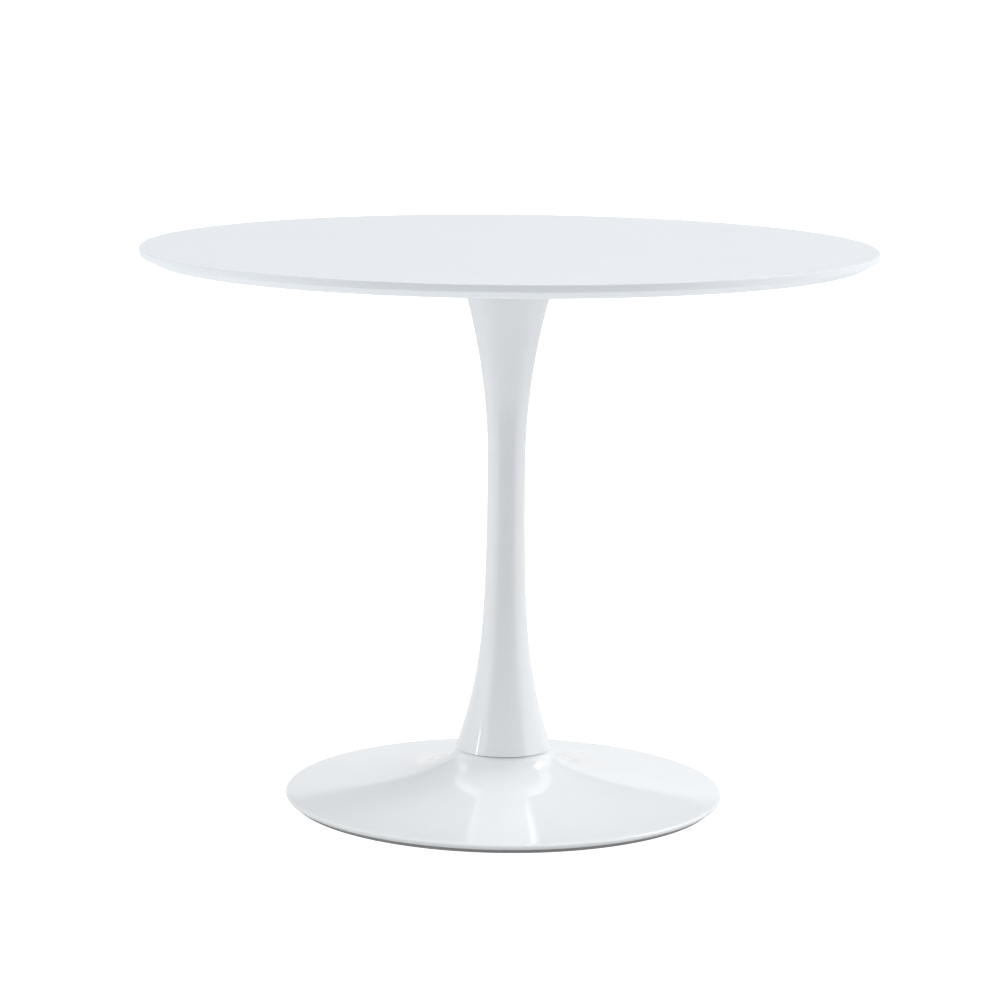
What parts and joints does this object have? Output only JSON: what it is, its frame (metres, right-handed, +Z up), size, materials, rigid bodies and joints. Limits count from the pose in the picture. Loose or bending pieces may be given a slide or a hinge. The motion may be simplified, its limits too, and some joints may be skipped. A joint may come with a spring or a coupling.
{
  "type": "round pedestal table",
  "caption": "Round dining table with a thin bevelled top on a trumpet-shaped column and a low round weighted base.",
  "frame": {"origin": "on the floor, on the axis of the column", "axes": "+Z up along the column; X and Y lie in the floor plane, and the table is round, so neither is a front"},
  "size_m": [0.962, 0.962, 0.74],
  "materials": {
    "white_lacquer": "satin",
    "white_enamel": "gloss",
    "zinc_plated_steel": "satin",
    "brass": "satin",
    "cast_iron": "matte",
    "grey_rubber": "matte",
    "black_board": "matte"
  },
  "bodies": {
    "root": {"tabletop": "white_lacquer", "column": "white_enamel", "base_dish": "white_enamel", "mounting_plate": "white_enamel", "threaded_insert_1": "brass", "threaded_insert_2": "brass", "threaded_insert_3": "brass", "threaded_insert_4": "brass", "threaded_insert_5": "brass", "threaded_insert_6": "brass", "plate_washer_1": "zinc_plated_steel", "plate_washer_2": "zinc_plated_steel", "plate_washer_3": "zinc_plated_steel", "plate_washer_4": "zinc_plated_steel", "plate_washer_5": "zinc_plated_steel", "plate_washer_6": "zinc_plated_steel", "plate_screw_1": "zinc_plated_steel", "plate_screw_2": "zinc_plated_steel", "plate_screw_3": "zinc_plated_steel", "plate_screw_4": "zinc_plated_steel", "plate_screw_5": "zinc_plated_steel", "plate_screw_6": "zinc_plated_steel", "cover_screw_1": "zinc_plated_steel", "cover_screw_2": "zinc_plated_steel", "cover_screw_3": "zinc_plated_steel", "cover_screw_4": "zinc_plated_steel", "column_foot_disc": "zinc_plated_steel", "tie_rod": "zinc_plated_steel", "upper_washer": "zinc_plated_steel", "upper_nut": "zinc_plated_steel", "clamp_washer": "zinc_plated_steel", "spring_washer": "zinc_plated_steel", "lower_nut": "zinc_plated_steel", "base_weight": "cast_iron", "foot_ring": "grey_rubber", "bottom_cover": "black_board"}
  },
  "joints": []
}
